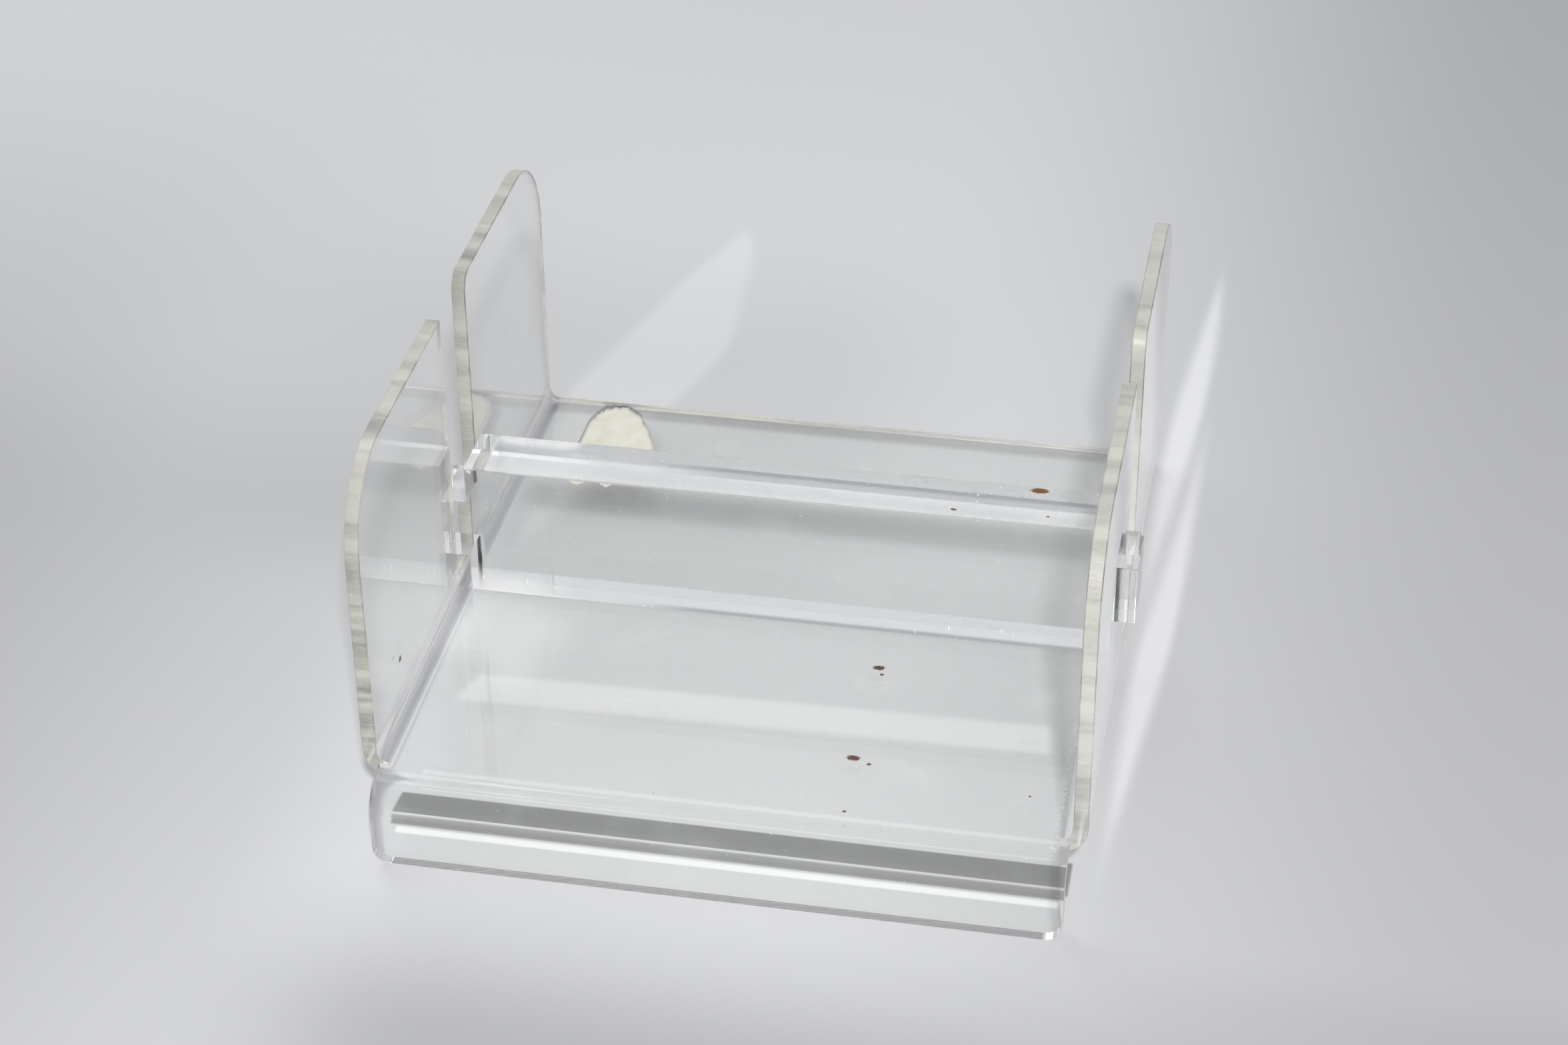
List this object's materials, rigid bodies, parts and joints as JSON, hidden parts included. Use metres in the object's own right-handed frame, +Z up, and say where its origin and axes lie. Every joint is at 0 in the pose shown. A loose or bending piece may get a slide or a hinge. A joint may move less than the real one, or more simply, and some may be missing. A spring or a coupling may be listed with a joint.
{
  "type": "card tray with weight bar",
  "caption": "Clear folded acrylic card tray on a front lip, with slotted side walls and a loose solid bar that slides up in the slots.",
  "frame": {"origin": "on the table, at the middle of the outline seen from above", "axes": "+Z up, +X to the right along the bar, +Y to the back of the tray; the front lip is at -Y"},
  "size_m": [0.2, 0.21, 0.1093],
  "materials": {
    "sheet_acrylic": "clear cast acrylic sheet, polished faces, sawn straw-coloured edges",
    "solid_acrylic": "clear cast acrylic bar, polished faces, fine scratches"
  },
  "bodies": {
    "tray": {"tray_shell": "sheet_acrylic"},
    "bar": {"weight_bar": "solid_acrylic"}
  },
  "joints": [
    {"name": "bar_lift", "type": "slide", "parent": "tray", "child": "bar", "axis": [0, 0.1005, 0.9949], "range_m": [0, 0.095]}
  ]
}
